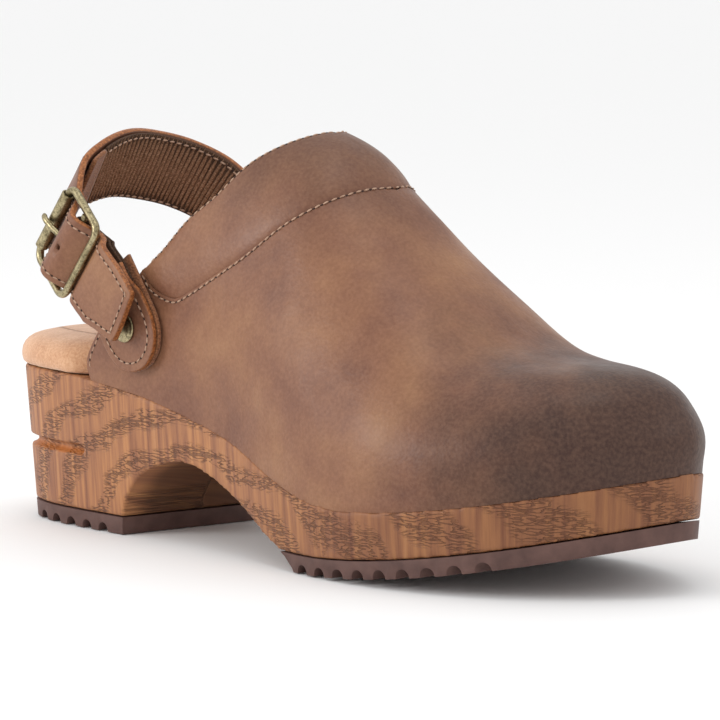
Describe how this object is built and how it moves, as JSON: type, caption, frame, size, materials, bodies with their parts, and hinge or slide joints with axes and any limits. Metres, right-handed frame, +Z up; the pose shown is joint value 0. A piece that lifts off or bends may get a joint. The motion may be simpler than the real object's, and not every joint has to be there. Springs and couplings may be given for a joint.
{
  "type": "wooden clog",
  "caption": "Right clog with a carved wooden sole, rubber treads, closed leather vamp with a padded collar, and a buckled heel strap that swings on studs.",
  "frame": {"origin": "middle of the shoe's box, on the ground", "axes": "+X to the toe, +Y to the inner side of this right shoe, +Z up"},
  "size_m": [0.2642, 0.0946, 0.1283],
  "materials": {
    "wood": "satin lacquered wood, embossed grain marks",
    "rubber": "matte moulded rubber",
    "oiled_leather": "smooth waxed leather, darker at the toe",
    "raw_leather": "bare leather, fibrous back and cut edge",
    "suede": "napped suede",
    "board": "pressed fibre board",
    "foam": "open foam",
    "webbing": "ribbed woven elastic",
    "antique_brass": "antiqued brass, polished high spots"
  },
  "bodies": {
    "shoe": {"wood_base": "wood", "heel_tread": "rubber", "forefoot_tread": "rubber", "insole_board": "board", "footbed_foam": "foam", "heel_cushion": "foam", "footbed_suede": "suede", "vamp_leather": "oiled_leather", "vamp_lining": "suede", "toe_puff": "board", "collar_leather": "oiled_leather", "collar_foam": "foam", "collar_lining": "suede", "outer_stud": "antique_brass", "outer_stud_washer": "antique_brass", "inner_stud": "antique_brass", "inner_stud_washer": "antique_brass"},
    "heel_strap": {"strap_leather": "oiled_leather", "strap_facing": "raw_leather", "strap_webbing": "webbing", "inner_tab_lining": "raw_leather", "outer_tab_leather": "oiled_leather", "outer_tab_lining": "raw_leather", "buckle_elastic": "webbing", "buckle_frame": "antique_brass", "buckle_centre_bar": "antique_brass"},
    "prong": {"buckle_prong": "antique_brass"},
    "roller": {"buckle_roller": "antique_brass"}
  },
  "joints": [
    {"name": "strap_swivel", "type": "hinge", "parent": "shoe", "child": "heel_strap", "pos_m": [-0.05783, 0, 0.0665], "axis": [0, 1, 0], "range_deg": [-34, 54]},
    {"name": "prong_swing", "type": "hinge", "parent": "heel_strap", "child": "prong", "pos_m": [-0.07983, -0.04098, 0.0908], "axis": [0.6039, 0.0041, 0.797], "range_deg": [0, 12]},
    {"name": "roller_spin", "type": "hinge", "parent": "heel_strap", "child": "roller", "pos_m": [-0.08959, -0.03848, 0.09819], "axis": [0.6039, 0.0041, 0.797], "continuous": true}
  ]
}
